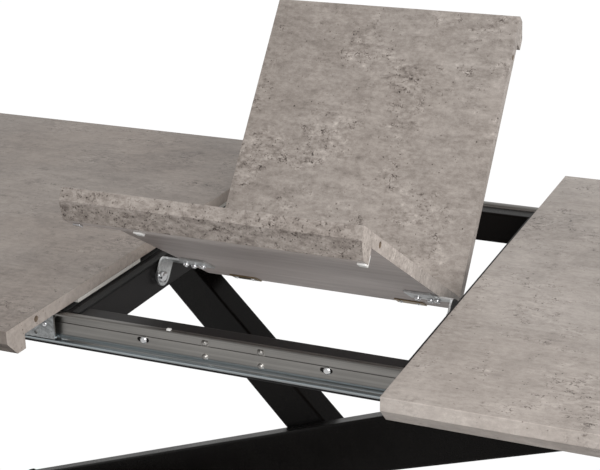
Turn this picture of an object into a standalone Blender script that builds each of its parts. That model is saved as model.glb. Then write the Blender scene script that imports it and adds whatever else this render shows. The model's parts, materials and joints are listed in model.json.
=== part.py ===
"""Extendable dining table with a folding butterfly leaf, drawn with the leaf half unfolded.

Metres, +Z up.  X is the direction in which the two tops slide apart, -Y is the front and the
origin is on the floor under the middle of the table.  Everything that swings is modelled flat,
as it lies with the leaf fully open, and then turned by its parent empty to the half-open rest.
"""
import math

import bmesh
import bpy
from mathutils import Matrix, Vector

# --- driving dimensions -------------------------------------------------------------------
TABLE_HEIGHT = 0.760
TABLE_WIDTH = 0.900
HALF_TOP_LENGTH = 0.900
LEAF_LENGTH = 0.400          # along X; each of its two panels is half the table's width
OPEN_HALF_GAP = 0.248        # cut edge to table centre with the tops pulled right apart

BOARD = 0.018                # thickness of tops and leaf
DROP_HEIGHT = 0.038          # whole height of the thickened edge
DROP_WIDTH = 0.038
DROP_FACE = 0.0175           # upright part of the edge, above its bevel
DROP_BEVEL = 0.020           # how far the bevel runs back under the edge
ARRIS = 0.0008               # softened top edge

RAIL_WIDTH = 0.030           # steel box tubes of the frame
RAIL_HEIGHT = 0.050
RAIL_TOP = 0.7337
RAIL_INNER_Y = 0.290
RAIL_HALF_LENGTH = 0.620
TUBE_WALL = 0.002
TUBE_CORNER = 0.003
CROSS_BEAM_X = 0.230         # inner face of the beams that carry the leaf pivots
END_BEAM_WIDTH = 0.100

CHANNEL_HEIGHT = 0.0454      # ball-bearing slide, outer member
CHANNEL_DEPTH = 0.0117
CHANNEL_Z = 0.716
CHANNEL_HALF_LENGTH = 0.470
CHANNEL_SHEET = 0.0012
RACEWAY_RADIUS = 0.0062
LIP_RADIUS = 0.0022
LIP_HEIGHT = 0.0042
WEB_STEP = 0.0008             # how far the web's middle band stands proud
WEB_BAND = (0.0048, -0.0120)  # top and bottom of that band, from the channel's middle
CHANNEL_SLOT_X = 0.1295
SLOT_HALF_LENGTH = 0.0085
SLOT_HALF_HEIGHT = 0.0034
SCREW_HEAD_RADIUS = 0.0050
SCREW_STEM_RADIUS = 0.0022
SCREW_SHIFT = 0.0012          # the screws sit a little off the middle of their slots
STOP_DIMPLE_X = 0.0395
STOP_DIMPLE_Z = 0.0100
STOP_DIMPLE_RADIUS = 0.0050
RUNNER_INNER_X = 0.258
RUNNER_LENGTH = 0.520
RUNNER_HALF_HEIGHT = 0.0155
RUNNER_SHEET = 0.0016
RUNNER_BACK = 0.0040          # inner edge of its flanges, from the channel's back
RUNNER_CORNER = 0.002
CAGE_INNER_X = 0.300         # strip that spaces the balls between a channel and a runner
CAGE_LENGTH = 0.150
CAGE_SHEET = 0.0006
CAGE_WEB = 0.0031            # depths from the channel's back
CAGE_FRONT = 0.0095
CAGE_HALF_HEIGHT = 0.0188
CAGE_BALLS = 4               # in each of its two rows
BALL_RADIUS = 0.0026
BALL_DEPTH = 0.0070
BRACKET_LENGTH = 0.470
BRACKET_HOLE_X = (0.029, 0.235, 0.441)   # from the bracket's inner end
BRACKET_HOLE_Z = 0.7064
BRACKET_HOLE_RADIUS = 0.0026
BRACKET_BOTTOM_Z = 0.700
BRACKET_SHEET = 0.0018
BRACKET_SHELF = 0.030

PIVOT_Y = -0.105             # swing axis of the whole leaf, along X
PIVOT_Z = 0.712
LEAF_SWING_REST = math.radians(-31.4)
LEAF_FOLD_REST = math.radians(83.9)

PIVOT_RADIUS = 0.0040
BUSH_RADIUS = 0.0080
PIVOT_HEAD_RADIUS = 0.0085
PIVOT_HEAD_HEIGHT = 0.0045
TAB_X = 0.2205               # inner face of the pivot tab
PLATE = 0.003                # sheet of the pivot bracket
TAB_FRONT = 0.1075           # the tab's two sides, measured from the fold line
TAB_BACK = 0.083
TAB_SHOULDER = 0.0127
TAB_END = (0.1025, 0.0425)   # middle of the round end: from the fold line, down from the top
TAB_END_RADIUS = 0.0185
ARM_INNER_X = 0.153
ARM_FLARE_X = (0.198, 0.191)
ARM_WIDE = (0.121, 0.078)    # sides of the arm's wide end
HINGE_X = 0.132
HINGE_LENGTH = 0.044
HINGE_SHEET = 0.0013
HINGE_FLANGE = 0.024
HINGE_UPSTAND = 0.0024        # top of the upright leaf, down from the fold line
HINGE_NECK = (0.0008, 0.0040)
KNUCKLE_RADIUS = 0.002
KNUCKLE_BORE = 0.0012
HINGE_PIN_RADIUS = 0.0009
HINGE_NOTCH = 0.00235

SOCKET_Y = 0.385             # dowel sockets in the mating edges
SOCKET_DROP = 0.008          # below the top surface
SOCKET_RADIUS = 0.0043
SOCKET_DEPTH = 0.012

STRIP_SHEET = 0.0052         # pale strip screwed under each cut edge
STRIP_WIDTH = 0.045
STRIP_HALF_LENGTH = 0.286
STRIP_NOTCH_DEPTH = 0.029     # leaves room for the pivot bracket when the table is closed up
STRIP_NOTCH_Y = (-0.1190, -0.0450)

LEG_ANGLE = math.radians(25.86)  # plan angle of the crossed bars from X
LEG_SLOPE = 0.5045               # rise over plan run
LEG_CROSS_Z = 0.4345
LEG_CROSS_Y = -0.0285
LEG_DEPTH = 0.080                # bar section, in the plane of the cross
LEG_WIDTH = 0.038
LEG_CORNER = 0.0035
LEG_WALL = 0.0025
MOUNT_PLATE = 0.006
MOUNT_PLATE_X = 0.210
MOUNT_PLATE_Y = 0.130
BOLT_OFFSET = (0.035, 0.045)
BOLT_SHANK = 0.004
BOLT_HEAD = 0.0075
BOLT_HEAD_HEIGHT = 0.0053
GLIDE_HEIGHT = 0.004
FOOT_PLATE = 0.008
FOOT_PLATE_WIDTH = 0.190
FOOT_PLATE_LENGTH = 0.826
FOOT_PLATE_X = 0.760
FOOT_PLATE_CORNER = 0.060
GLIDE_INSET = 0.055
GLIDE_HALF_SIZE = (0.060, 0.025)
GLIDE_CORNER = 0.008

GAP = 0.0003                 # between pieces that touch
BORE_GAP = 0.0003

LEG_OUT = (LEG_WIDTH + GAP) / 2  # each bar's middle from the plane between the two
UNDERSIDE_Z = TABLE_HEIGHT - BOARD
RAIL_BOTTOM = RAIL_TOP - RAIL_HEIGHT
RAIL_OUTER_Y = RAIL_INNER_Y + RAIL_WIDTH
CHANNEL_BACK_Y = RAIL_OUTER_Y + GAP
CHANNEL_FRONT_Y = CHANNEL_BACK_Y + CHANNEL_DEPTH
FOLD_Y = -PIVOT_Y            # fold line, measured from the pivot with the leaf flat
FOLD_Z = TABLE_HEIGHT - PIVOT_Z
PANEL_LENGTH = TABLE_WIDTH / 2


# --- shared builders ----------------------------------------------------------------------
def material(name, colour, roughness, metallic=0.0):
    """A plain Principled BSDF."""
    made = bpy.data.materials.new(name)
    made.use_nodes = True
    shader = made.node_tree.nodes["Principled BSDF"]
    shader.inputs["Base Color"].default_value = (*colour, 1.0)
    shader.inputs["Roughness"].default_value = roughness
    shader.inputs["Metallic"].default_value = metallic
    return made


def add_object(name, mesh, finish, parent=None, location=(0, 0, 0)):
    """Link a mesh to the scene as one named piece."""
    piece = bpy.data.objects.new(name, mesh)
    bpy.context.scene.collection.objects.link(piece)
    piece.location = location
    piece.parent = parent
    if finish is not None:
        mesh.materials.append(finish)
    return piece


def add_empty(name, location, turn_x=0.0, parent=None):
    """A joint frame: an empty on the joint's axis."""
    frame = bpy.data.objects.new(name, None)
    bpy.context.scene.collection.objects.link(frame)
    frame.location = location
    frame.rotation_euler = (turn_x, 0.0, 0.0)
    frame.parent = parent
    return frame


def mesh_from_faces(name, points, faces, smooth_angle=None):
    """A closed mesh with its faces turned outward."""
    mesh = bpy.data.meshes.new(name)
    mesh.from_pydata([tuple(point) for point in points], [], faces)
    work = bmesh.new()
    work.from_mesh(mesh)
    bmesh.ops.recalc_face_normals(work, faces=work.faces)
    work.to_mesh(mesh)
    work.free()
    if smooth_angle is not None:
        mesh.shade_smooth()
        mesh.set_sharp_from_angle(angle=smooth_angle)
    return mesh


def loft(name, rings, smooth_angle=None):
    """Closed mesh through equal rings of points, with a flat face on each end."""
    count = len(rings[0])
    points = [point for ring in rings for point in ring]
    faces = []
    for level in range(len(rings) - 1):
        base = level * count
        for i in range(count):
            j = (i + 1) % count
            faces.append((base + i, base + j, base + count + j, base + count + i))
    faces.append(tuple(range(count)))
    faces.append(tuple(range((len(rings) - 1) * count, len(rings) * count)))
    return mesh_from_faces(name, points, faces, smooth_angle)


def hollow_loft(name, outer_rings, inner_rings, smooth_angle=None):
    """Tube between two end rings: an outer skin, an inner skin and a rim on each end."""
    count = len(outer_rings[0])
    points = [point for ring in (*outer_rings, *inner_rings) for point in ring]
    outer_low, outer_high, inner_low, inner_high = (count * k for k in range(4))
    faces = []
    for i in range(count):
        j = (i + 1) % count
        faces.append((outer_low + i, outer_low + j, outer_high + j, outer_high + i))
        faces.append((inner_low + j, inner_low + i, inner_high + i, inner_high + j))
        faces.append((outer_low + j, outer_low + i, inner_low + i, inner_low + j))
        faces.append((outer_high + i, outer_high + j, inner_high + j, inner_high + i))
    return mesh_from_faces(name, points, faces, smooth_angle)


def along_x(outline, low, high):
    """Two rings of a (y, z) outline, at x = low and x = high."""
    return [[(x, y, z) for y, z in outline] for x in (low, high)]


def along_y(outline, low, high):
    """Two rings of an (x, z) outline, at y = low and y = high."""
    return [[(x, y, z) for x, z in outline] for y in (low, high)]


def along_z(outline, low, high):
    """Two rings of an (x, y) outline, at z = low and z = high."""
    return [[(x, y, z) for x, y in outline] for z in (low, high)]


def arc(centre, radius, start, end, steps):
    """Points on an arc, angles in degrees."""
    angles = [math.radians(start + (end - start) * k / steps) for k in range(steps + 1)]
    return [(centre[0] + radius * math.cos(a), centre[1] + radius * math.sin(a)) for a in angles]


def circle(centre, radius, count):
    """Points on a whole circle."""
    return arc(centre, radius, 0, 360, count)[:-1]


def rounded_box(half_a, half_b, radius, steps=3, centre=(0.0, 0.0)):
    """Rectangle with rounded corners."""
    points = []
    for corner, (sign_a, sign_b) in enumerate(((1, 1), (-1, 1), (-1, -1), (1, -1))):
        middle = (centre[0] + sign_a * (half_a - radius), centre[1] + sign_b * (half_b - radius))
        points += arc(middle, radius, 90 * corner, 90 * corner + 90, steps)
    return points


def box(name, low, high):
    """Rectangular block between two corners."""
    outline = [(low[0], low[1]), (high[0], low[1]), (high[0], high[1]), (low[0], high[1])]
    return loft(name, along_z(outline, low[2], high[2]))


def turned_x(name, profile, centre, count=16):
    """Solid of revolution about a line along X through centre (y, z).

    The profile is a list of (x, radius) steps.
    """
    rings = []
    for x, radius in profile:
        rings.append([(x, y, z) for y, z in circle(centre, radius, count)])
    return loft(name, rings, math.radians(35))


def cut_away(piece, name, cutter_mesh):
    """Take the cutter's shape, drawn in the same frame as the piece, out of it."""
    cutter = add_object(name, cutter_mesh, None, piece.parent, piece.location)
    cutter.hide_render = True
    cutter.display_type = "WIRE"
    step = piece.modifiers.new(name, "BOOLEAN")
    step.operation = "DIFFERENCE"
    step.solver = "EXACT"
    step.object = cutter


def join_on(piece, name, added_mesh):
    """Weld another closed shape, drawn in the same frame, onto a piece."""
    added = add_object(name, added_mesh, None, piece.parent, piece.location)
    added.hide_render = True
    added.display_type = "WIRE"
    step = piece.modifiers.new(name, "BOOLEAN")
    step.operation = "UNION"
    step.solver = "EXACT"
    step.object = added


# --- frame of welded box tubes ------------------------------------------------------------
def build_rails(black):
    """Two long rails, open at their ends."""
    middle_z = RAIL_TOP - RAIL_HEIGHT / 2
    for name, side in (("rail_front", -1), ("rail_back", 1)):
        centre = (side * (RAIL_INNER_Y + RAIL_WIDTH / 2), middle_z)
        outer = rounded_box(RAIL_WIDTH / 2, RAIL_HEIGHT / 2, TUBE_CORNER, 3, centre)
        inner = rounded_box(RAIL_WIDTH / 2 - TUBE_WALL, RAIL_HEIGHT / 2 - TUBE_WALL,
                            TUBE_CORNER - TUBE_WALL, 3, centre)
        mesh = hollow_loft(name, along_x(outer, -RAIL_HALF_LENGTH, RAIL_HALF_LENGTH),
                           along_x(inner, -RAIL_HALF_LENGTH, RAIL_HALF_LENGTH), math.radians(40))
        add_object(name, mesh, black)


def build_beam(name, x, width, black):
    """A tube across the frame, between the rails."""
    centre = (x, RAIL_TOP - RAIL_HEIGHT / 2)
    reach = RAIL_INNER_Y - GAP
    outer = rounded_box(width / 2, RAIL_HEIGHT / 2, TUBE_CORNER, 3, centre)
    inner = rounded_box(width / 2 - TUBE_WALL, RAIL_HEIGHT / 2 - TUBE_WALL,
                        TUBE_CORNER - TUBE_WALL, 3, centre)
    mesh = hollow_loft(name, along_y(outer, -reach, reach), along_y(inner, -reach, reach),
                       math.radians(40))
    add_object(name, mesh, black)


# --- crossed legs -------------------------------------------------------------------------
def bar_middle(along, out):
    """Plan point at a distance along the bars' line and out of it towards the front."""
    x = along * math.cos(LEG_ANGLE) - out * math.sin(LEG_ANGLE)
    y = LEG_CROSS_Y - along * math.sin(LEG_ANGLE) - out * math.cos(LEG_ANGLE)
    return x, y


def bar_ring(section, height, sign):
    """Level end of a sloping bar; section holds (offset across the slope, offset out of its plane)."""
    ring = []
    for across, out in section:
        rise = across / math.cos(math.atan(LEG_SLOPE))
        along = sign * (height - LEG_CROSS_Z - rise) / LEG_SLOPE
        ring.append((*bar_middle(along, out), height))
    return ring


def build_leg_bar(name, sign, out, black):
    """One box-section bar from foot plate to mounting plate; sign is +1 where it rises along +X."""
    foot_z = GLIDE_HEIGHT + FOOT_PLATE + GAP
    head_z = RAIL_BOTTOM - GAP - MOUNT_PLATE - GAP
    middle = (0.0, out)
    outer = rounded_box(LEG_DEPTH / 2, LEG_WIDTH / 2, LEG_CORNER, 3, middle)
    inner = rounded_box(LEG_DEPTH / 2 - LEG_WALL, LEG_WIDTH / 2 - LEG_WALL, LEG_CORNER - LEG_WALL, 3, middle)
    mesh = hollow_loft(name, [bar_ring(outer, foot_z, sign), bar_ring(outer, head_z, sign)],
                       [bar_ring(inner, foot_z, sign), bar_ring(inner, head_z, sign)],
                       math.radians(40))
    add_object(name, mesh, black)


def build_leg_ends(black, zinc, rubber):
    """Mounting plates with their bolts at the top, foot plates with their glides below."""
    plate_top = RAIL_BOTTOM - GAP
    plate_low = plate_top - MOUNT_PLATE
    reach = (plate_low - LEG_CROSS_Z) / LEG_SLOPE
    for name, side in (("left", -1), ("right", 1)):
        x, y = bar_middle(side * reach, side * LEG_OUT)
        plate = add_object(f"leg_mount_plate_{name}", box(
            f"leg_mount_plate_{name}", (x - MOUNT_PLATE_X / 2, y - MOUNT_PLATE_Y / 2, plate_low),
            (x + MOUNT_PLATE_X / 2, y + MOUNT_PLATE_Y / 2, plate_top)), black)
        for label, end in (("a", -1), ("b", 1)):
            at = (x + end * BOLT_OFFSET[0], y + end * BOLT_OFFSET[1])
            build_mount_bolt(plate, f"{name}_{label}", at, plate_low, zinc)

        half_length = FOOT_PLATE_LENGTH / 2
        outline = rounded_box(FOOT_PLATE_WIDTH / 2, half_length, FOOT_PLATE_CORNER, 5,
                              (side * FOOT_PLATE_X, LEG_CROSS_Y))
        mesh = loft("foot_plate", along_z(outline, GLIDE_HEIGHT, GLIDE_HEIGHT + FOOT_PLATE), math.radians(30))
        add_object(f"foot_plate_{name}", mesh, black)
        for label, end in (("front", -1), ("back", 1)):
            middle = (side * FOOT_PLATE_X, LEG_CROSS_Y + end * (half_length - GLIDE_INSET))
            outline = rounded_box(*GLIDE_HALF_SIZE, GLIDE_CORNER, 3, middle)
            mesh = loft("glide", along_z(outline, 0.0, GLIDE_HEIGHT - GAP))
            add_object(f"glide_{name}_{label}", mesh, rubber)


def build_mount_bolt(plate, label, at, plate_low, zinc):
    """Hexagon bolt up through a mounting plate."""
    hexagon = circle(at, BOLT_HEAD, 6)
    rings = along_z(hexagon, plate_low - GAP - BOLT_HEAD_HEIGHT, plate_low - GAP)
    bolt = add_object(f"leg_bolt_{label}", loft(f"leg_bolt_{label}", rings), zinc)
    stem = along_z(circle(at, BOLT_SHANK, 12), plate_low - BOLT_HEAD_HEIGHT / 2, plate_low + MOUNT_PLATE)
    join_on(bolt, f"leg_bolt_stem_{label}", loft("stem", stem))
    span = (plate_low - MOUNT_PLATE, plate_low + 2 * MOUNT_PLATE)
    hole = along_z(circle(at, BOLT_SHANK + BORE_GAP, 12), *span)
    cut_away(plate, f"leg_bolt_hole_{label}", loft("hole", hole))


# --- slides -------------------------------------------------------------------------------
def channel_outline(facing):
    """Rolled C section, open away from the rail: stepped web, curved raceways and turned-in lips."""
    half = CHANNEL_HEIGHT / 2
    sheet = CHANNEL_SHEET
    raised = sheet + WEB_STEP
    bend = RACEWAY_RADIUS
    fold = (CHANNEL_DEPTH - LIP_RADIUS, half - LIP_RADIUS)
    outer = arc((bend, half - bend), bend, 180, 90, 4) + arc(fold, LIP_RADIUS, 90, 0, 3)
    inner = arc(fold, LIP_RADIUS - sheet, 0, 90, 3) + arc((bend, half - bend), bend - sheet, 90, 180, 4)
    lip_end = half - LIP_HEIGHT
    upper = outer + [(CHANNEL_DEPTH, lip_end), (CHANNEL_DEPTH - sheet, lip_end)] + inner
    lower = [(depth, -z) for depth, z in reversed(upper)]
    top_step, low_step = WEB_BAND
    web = [(sheet, top_step + WEB_STEP), (raised, top_step), (raised, low_step), (sheet, low_step - WEB_STEP)]
    outline = upper + web + lower
    return [(facing * (CHANNEL_BACK_Y + depth), CHANNEL_Z + z) for depth, z in outline]


def build_channel(name, facing, zinc, bright):
    """Fixed middle member of one slide, with slots, stop dimples and its two screws."""
    rings = along_x(channel_outline(facing), -CHANNEL_HALF_LENGTH, CHANNEL_HALF_LENGTH)
    channel = add_object(name, loft(name, rings, math.radians(30)), zinc)
    end = "front" if facing < 0 else "back"
    for label, side in (("left", -1), ("right", 1)):
        x = side * CHANNEL_SLOT_X
        slot = rounded_box(SLOT_HALF_LENGTH, SLOT_HALF_HEIGHT, SLOT_HALF_HEIGHT - 0.0001, 4, (x, CHANNEL_Z))
        low, high = sorted((facing * RAIL_OUTER_Y, facing * (CHANNEL_BACK_Y + CHANNEL_DEPTH / 2)))
        cut_away(channel, f"{name}_slot_{label}", loft("slot", along_y(slot, low, high)))
        build_channel_screw(f"channel_screw_{end}_{label}", facing, x + SCREW_SHIFT, bright)
        for vertical in (-1, 1):
            build_dimple(channel, f"{name}_dimple_{label}_{vertical + 1}", facing,
                         side * STOP_DIMPLE_X, CHANNEL_Z + vertical * STOP_DIMPLE_Z)


def build_channel_screw(name, facing, x, bright):
    """Pan-head screw that stands on the raised band of the web."""
    seat = CHANNEL_BACK_Y + CHANNEL_SHEET + WEB_STEP + GAP
    head = SCREW_HEAD_RADIUS
    steps = [(CHANNEL_BACK_Y + GAP / 2, SCREW_STEM_RADIUS), (seat, SCREW_STEM_RADIUS), (seat, head),
             (seat + 0.0016, head * 0.97), (seat + 0.0027, head * 0.70)]
    rings = [[(px, facing * depth, pz) for px, pz in circle((x, CHANNEL_Z), radius, 14)]
             for depth, radius in steps]
    add_object(name, loft("screw", rings, math.radians(35)), bright)


def build_dimple(channel, name, facing, x, z):
    """Pressed stop on the channel's web, a dome whose profile is a quarter circle."""
    root = CHANNEL_BACK_Y + CHANNEL_SHEET / 2
    rings = []
    for turn in (0.0, 22.0, 44.0, 64.0, 80.0):
        radius = STOP_DIMPLE_RADIUS * math.cos(math.radians(turn))
        depth = root + STOP_DIMPLE_RADIUS * math.sin(math.radians(turn))
        rings.append([(px, facing * depth, pz) for px, pz in circle((x, z), radius, 12)])
    join_on(channel, name, loft("dimple", rings, math.radians(40)))


def runner_outline(facing):
    """C section of a moving member, its web flush with the channel's lips."""
    half = RUNNER_HALF_HEIGHT
    back, front = RUNNER_BACK, CHANNEL_DEPTH
    sheet, bend = RUNNER_SHEET, RUNNER_CORNER
    points = [(back, half), *arc((front - bend, half - bend), bend, 90, 0, 3)]
    points += arc((front - bend, -half + bend), bend, 0, -90, 3)
    points += [(back, -half), (back, -half + sheet), (front - sheet, -half + sheet)]
    points += [(front - sheet, half - sheet), (back, half - sheet)]
    return [(facing * (CHANNEL_BACK_Y + depth), CHANNEL_Z + z) for depth, z in points]


def build_runner(name, side, facing, zinc, slide):
    """Moving member of one slide, with the bracket that carries the top on its inner end."""
    inner, outer = side * RUNNER_INNER_X, side * (RUNNER_INNER_X + RUNNER_LENGTH)
    rings = along_x(runner_outline(facing), *sorted((inner, outer)))
    add_local(f"slide_runner_{name}", loft("runner", rings, math.radians(30)), zinc, slide)

    near = CHANNEL_FRONT_Y + GAP
    far = near + BRACKET_SHEET
    shelf_top = UNDERSIDE_Z - GAP
    outline = [(near, BRACKET_BOTTOM_Z), (near, shelf_top), (near + BRACKET_SHELF, shelf_top),
               (near + BRACKET_SHELF, shelf_top - BRACKET_SHEET), (far, shelf_top - BRACKET_SHEET),
               (far, BRACKET_BOTTOM_Z)]
    outline = [(facing * depth, z) for depth, z in outline]
    low, high = sorted((inner, inner + side * BRACKET_LENGTH))
    bracket = add_local(f"runner_bracket_{name}", loft("bracket", along_x(outline, low, high)),
                        zinc, slide)
    span = sorted((facing * (near - BRACKET_SHEET), facing * (far + BRACKET_SHEET)))
    for index, offset in enumerate(BRACKET_HOLE_X):
        hole = circle((inner + side * offset, BRACKET_HOLE_Z), BRACKET_HOLE_RADIUS, 12)
        cut_away(bracket, f"bracket_hole_{name}_{index}", loft("hole", along_y(hole, *span)))


def build_cage(name, side, facing, bright, shift):
    """Ball cage of one slide: a strip bent round the runner, with a row of balls along each flange."""
    web, front, flange = CAGE_WEB, CAGE_FRONT, CAGE_HALF_HEIGHT
    bend = [(front, flange), (web, flange), (web, -flange), (front, -flange),
            (front, -flange + CAGE_SHEET), (web + CAGE_SHEET, -flange + CAGE_SHEET),
            (web + CAGE_SHEET, flange - CAGE_SHEET), (front, flange - CAGE_SHEET)]
    outline = [(facing * (CHANNEL_BACK_Y + depth), CHANNEL_Z + z) for depth, z in bend]
    low, high = sorted((side * CAGE_INNER_X, side * (CAGE_INNER_X + CAGE_LENGTH)))
    cage = add_local(f"ball_cage_{name}", loft("cage", along_x(outline, low, high)), bright, shift)

    work = bmesh.new()
    for index in range(CAGE_BALLS):
        x = low + CAGE_LENGTH * (index + 0.5) / CAGE_BALLS
        for row in (-1, 1):
            place = (x, facing * (CHANNEL_BACK_Y + BALL_DEPTH), CHANNEL_Z + row * (flange - CAGE_SHEET / 2))
            bmesh.ops.create_uvsphere(work, u_segments=8, v_segments=6, radius=BALL_RADIUS,
                                      matrix=Matrix.Translation(place))
    balls = bpy.data.meshes.new("balls")
    work.to_mesh(balls)
    work.free()
    join_on(cage, f"ball_cage_balls_{name}", balls)


def add_local(name, mesh, finish, parent):
    """A piece drawn in world places but hung on a joint frame that isn't turned."""
    return add_object(name, mesh, finish, parent, -Vector(parent.location))


# --- tops ---------------------------------------------------------------------------------
def edge_profile():
    """Section of the thickened edge: (inward from the outer face, down from the top)."""
    return [(ARRIS, 0.0), (0.0, ARRIS), (0.0, DROP_FACE), (DROP_BEVEL, DROP_HEIGHT),
            (DROP_WIDTH, DROP_HEIGHT), (DROP_WIDTH, BOARD)]


def build_top(name, side, laminate, slide):
    """One half top: a board with its thickened edge mitred round three sides."""
    cut_x = side * OPEN_HALF_GAP
    end_x = side * (OPEN_HALF_GAP + HALF_TOP_LENGTH)
    half = TABLE_WIDTH / 2
    points = []
    for inward, down in edge_profile():
        z = TABLE_HEIGHT - down
        points += [(cut_x, -half + inward, z), (end_x - side * inward, -half + inward, z),
                   (end_x - side * inward, half - inward, z), (cut_x, half - inward, z)]
    levels = len(edge_profile())
    faces = []
    for level in range(levels - 1):
        base = level * 4
        for i in range(3):
            faces.append((base + i, base + i + 1, base + i + 5, base + i + 4))
    faces.append((0, 1, 2, 3))
    last = (levels - 1) * 4
    faces.append((last, last + 1, last + 2, last + 3))
    front = [level * 4 for level in range(levels)]
    back = [level * 4 + 3 for level in reversed(range(levels))]
    faces.append(tuple(front + back))
    top = add_local(f"top_{name}", mesh_from_faces(f"top_{name}", points, faces), laminate, slide)
    return top


def build_tops(laminate, pale, slides):
    """Both half tops, with a socket near each end of the cut edge."""
    socket_z = TABLE_HEIGHT - SOCKET_DROP
    for name, side in (("left", -1), ("right", 1)):
        top = build_top(name, side, laminate, slides[name])
        cut_x = side * OPEN_HALF_GAP
        hole = [(cut_x - side * SOCKET_RADIUS, SOCKET_RADIUS), (cut_x + side * SOCKET_DEPTH, SOCKET_RADIUS)]
        for label, y in (("front", -SOCKET_Y), ("back", SOCKET_Y)):
            cut_away(top, f"top_{name}_socket_{label}", turned_x("socket", sorted(hole), (y, socket_z)))
        build_edge_strip(name, side, pale, slides[name])


def build_edge_strip(name, side, pale, slide):
    """Thin strip under the cut edge, notched to pass the pivot bracket."""
    front, back = OPEN_HALF_GAP, OPEN_HALF_GAP + STRIP_WIDTH
    notch = OPEN_HALF_GAP + STRIP_NOTCH_DEPTH
    notch_front, notch_back = STRIP_NOTCH_Y
    half = STRIP_HALF_LENGTH
    outline = [(front, -half), (front, notch_front), (notch, notch_front), (notch, notch_back),
               (front, notch_back), (front, half), (back, half), (back, -half)]
    outline = [(side * x, y) for x, y in outline]
    rings = along_z(outline, UNDERSIDE_Z - GAP - STRIP_SHEET, UNDERSIDE_Z - GAP)
    add_local(f"edge_strip_{name}", loft("strip", rings), pale, slide)


# --- butterfly leaf, drawn flat and measured from its pivot or its fold line ---------------
def panel_outline(direction, y0, z0):
    """Section of a leaf panel that runs from the fold line towards -Y or +Y."""
    points = [(0.5 * GAP, 0.0)]
    points += [(PANEL_LENGTH - inward, down) for inward, down in edge_profile()]
    points.append((0.5 * GAP, BOARD))
    return [(y0 + direction * s, z0 - down) for s, down in points]


def build_panel(name, direction, origin, laminate, frame):
    """Leaf panel with hinge notches, and a dowel socket in each end."""
    y0, z0 = origin
    half = LEAF_LENGTH / 2
    panel = add_object(f"leaf_{name}", loft("panel", along_x(panel_outline(direction, y0, z0), -half, half)),
                       laminate, frame)
    centre = (y0 + direction * SOCKET_Y, z0 - SOCKET_DROP)
    for label, side in (("left", -1), ("right", 1)):
        reach = HINGE_LENGTH / 2 + GAP
        low_y, high_y = sorted((y0 - direction * HINGE_NOTCH, y0 + direction * HINGE_NOTCH))
        notch = box("notch", (side * HINGE_X - reach, low_y, z0 - 2 * BOARD),
                    (side * HINGE_X + reach, high_y, z0 + BOARD))
        cut_away(panel, f"leaf_{name}_notch_{label}", notch)
        hole = [(side * (half + SOCKET_RADIUS), SOCKET_RADIUS), (side * (half - SOCKET_DEPTH), SOCKET_RADIUS)]
        cut_away(panel, f"leaf_{name}_socket_{label}", turned_x("socket", sorted(hole), centre))


def build_hinge_leaf(name, direction, knuckles, origin, brass, frame):
    """Angle-shaped hinge leaf: down the panel's edge, under its face, with knuckles on top."""
    y0, z0 = origin
    near = GAP
    far = near + HINGE_SHEET
    low = BOARD + 0.0004
    outline = [(near, HINGE_UPSTAND), (far, HINGE_UPSTAND), (far, low), (HINGE_FLANGE, low),
               (HINGE_FLANGE, low + HINGE_SHEET), (near, low + HINGE_SHEET)]
    outline = [(y0 + direction * s, z0 - down) for s, down in outline]
    half = HINGE_LENGTH / 2
    centre_x = -HINGE_X if "left" in name else HINGE_X
    leaf = add_object(name, loft("hinge", along_x(outline, centre_x - half, centre_x + half)), brass, frame)
    neck_top, neck_low = HINGE_NECK
    for index, (start, end) in enumerate(knuckles):
        neck = [(near, neck_top), (far, neck_top), (far, neck_low), (near, neck_low)]
        neck = [(y0 + direction * s, z0 - down) for s, down in neck]
        span = (centre_x + start, centre_x + end)
        join_on(leaf, f"{name}_neck_{index}", loft("neck", along_x(neck, *span)))
        ring = circle((y0, z0), KNUCKLE_RADIUS, 14)
        join_on(leaf, f"{name}_knuckle_{index}", loft("knuckle", along_x(ring, *span)))
    bore = circle((y0, z0), KNUCKLE_BORE, 14)
    span = (centre_x - HINGE_LENGTH, centre_x + HINGE_LENGTH)
    cut_away(leaf, f"{name}_bore", loft("bore", along_x(bore, *span)))


def build_pivot_bracket(name, side, zinc, steel, frame):
    """Bent plate under the front panel: a flat arm, and a tab that hangs down to the pivot."""
    def at(s, down):
        return FOLD_Y - s, FOLD_Z - down

    top = BOARD + GAP
    tab = [(TAB_BACK, top), (TAB_FRONT, top)]
    tab += arc((TAB_FRONT, top + TAB_SHOULDER), TAB_SHOULDER, -90, 0, 4)[1:]
    tab += arc(TAB_END, TAB_END_RADIUS, 10, 170, 10)
    outline = [at(s, down) for s, down in tab]
    span = sorted((side * TAB_X, side * (TAB_X + PLATE)))
    bracket = add_object(f"pivot_bracket_{name}", loft("tab", along_x(outline, *span)), zinc, frame)

    outer = TAB_X + PLATE
    flare, wide = ARM_FLARE_X
    front, back = ARM_WIDE
    arm = [(outer, TAB_BACK), (outer, TAB_FRONT), (flare, TAB_FRONT), (wide, front), (ARM_INNER_X, front),
           (ARM_INNER_X, back), (wide, back), (flare, TAB_BACK)]
    arm = [(side * x, FOLD_Y - s) for x, s in arm]
    rings = along_z(arm, FOLD_Z - top - PLATE, FOLD_Z - top)
    join_on(bracket, f"pivot_arm_{name}", loft("arm", rings))
    bore = PIVOT_RADIUS + BORE_GAP
    hole = [(side * (TAB_X - PLATE), bore), (side * (outer + PLATE), bore)]
    cut_away(bracket, f"pivot_hole_{name}", turned_x("hole", sorted(hole), (0.0, 0.0)))
    build_pivot_bolt(name, side, outer, steel)


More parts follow.
